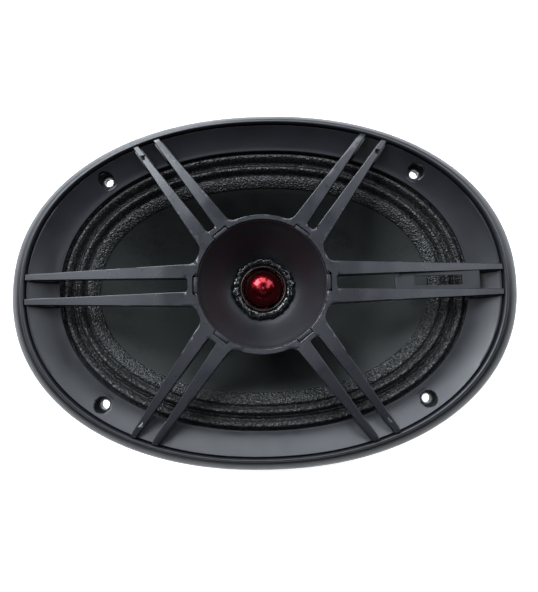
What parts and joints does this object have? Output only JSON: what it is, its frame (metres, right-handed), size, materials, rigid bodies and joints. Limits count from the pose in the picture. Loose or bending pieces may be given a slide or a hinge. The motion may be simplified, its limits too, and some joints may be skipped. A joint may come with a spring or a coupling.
{
  "type": "coaxial car speaker",
  "caption": "Oval two-way coaxial car speaker with spoked front guard, horn tweeter, moving paper cone and rear motor.",
  "frame": {"origin": "centre of the four-screw rectangle, on the back face of the steel flange", "axes": "+X along the oval's long axis, +Y along its short axis, +Z out of the front"},
  "size_m": [0.2498, 0.1764, 0.097],
  "materials": {
    "trim_plastic": "satin black moulded plastic",
    "bezel_plastic": "satin black moulded plastic",
    "guard_plastic": "satin black moulded plastic",
    "badge_plastic": "satin black moulded plastic",
    "bright_steel": "zinc plated",
    "foam": "closed-cell foam",
    "gasket_board": "black fibre board",
    "treated_cloth": "resin-doped woven cloth, grainy and slightly glossy",
    "paper_pulp": "pressed black pulp",
    "brass": "bright",
    "coil_former": "thin foil",
    "copper_wire": "enamelled copper",
    "spider_cloth": "resin-dipped cotton",
    "basket_paint": "satin black powder coat",
    "plated_steel": "zinc plated",
    "ferrite": "matt sintered ferrite",
    "phenolic_board": "phenolic paper board",
    "tinned_brass": "tinned",
    "capacitor_sleeve": "shrink sleeve",
    "tinsel_braid": "braided tinsel over yarn",
    "lead_insulation_red": "soft pvc",
    "lead_insulation_black": "soft pvc",
    "horn_plastic": "fine satin",
    "black_glue": "wet-looking black adhesive",
    "red_anodised": "red anodised, polished",
    "diaphragm_film": "thin polyimide film"
  },
  "bodies": {
    "frame": {"trim_ring": "trim_plastic", "bezel_dish": "bezel_plastic", "spoke_guard": "guard_plastic", "badge_frame": "badge_plastic", "mounting_eyelets": "bright_steel", "rear_gasket": "foam", "surround_gasket": "gasket_board", "surround": "treated_cloth", "spider": "spider_cloth", "basket": "basket_paint", "motor_rivets": "bright_steel", "top_plate": "plated_steel", "magnet": "ferrite", "back_plate": "plated_steel", "terminal_board": "phenolic_board", "terminal_rivets": "brass", "positive_tab": "tinned_brass", "negative_tab": "tinned_brass", "crossover_capacitor": "capacitor_sleeve", "tinsel_lead_positive": "tinsel_braid", "tinsel_lead_negative": "tinsel_braid", "tweeter_lead_positive": "lead_insulation_red", "tweeter_lead_negative": "lead_insulation_black", "horn": "horn_plastic", "glue_bead": "black_glue", "tweeter_bullet": "red_anodised", "tweeter_housing": "guard_plastic", "tweeter_yoke": "plated_steel", "tweeter_magnet": "bright_steel", "tweeter_top_plate": "plated_steel", "tweeter_suspension": "diaphragm_film"},
    "cone_assembly": {"cone": "paper_pulp", "cone_eyelets": "brass", "dust_cap": "paper_pulp", "voice_coil_former": "coil_former", "voice_coil_winding": "copper_wire"},
    "tweeter_dome": {"tweeter_diaphragm": "diaphragm_film", "tweeter_voice_coil": "copper_wire"}
  },
  "joints": [
    {"name": "cone_travel", "type": "slide", "parent": "frame", "child": "cone_assembly", "axis": [0, 0, 1], "range_m": [-0.004, 0.004], "stiffness_N_per_m": 3000, "deforming": ["surround", "spider", "tinsel_lead_positive", "tinsel_lead_negative"]},
    {"name": "tweeter_travel", "type": "slide", "parent": "frame", "child": "tweeter_dome", "axis": [0, 0, 1], "range_m": [-0.0003, 0.0003], "stiffness_N_per_m": 100, "deforming": ["tweeter_suspension"]}
  ]
}
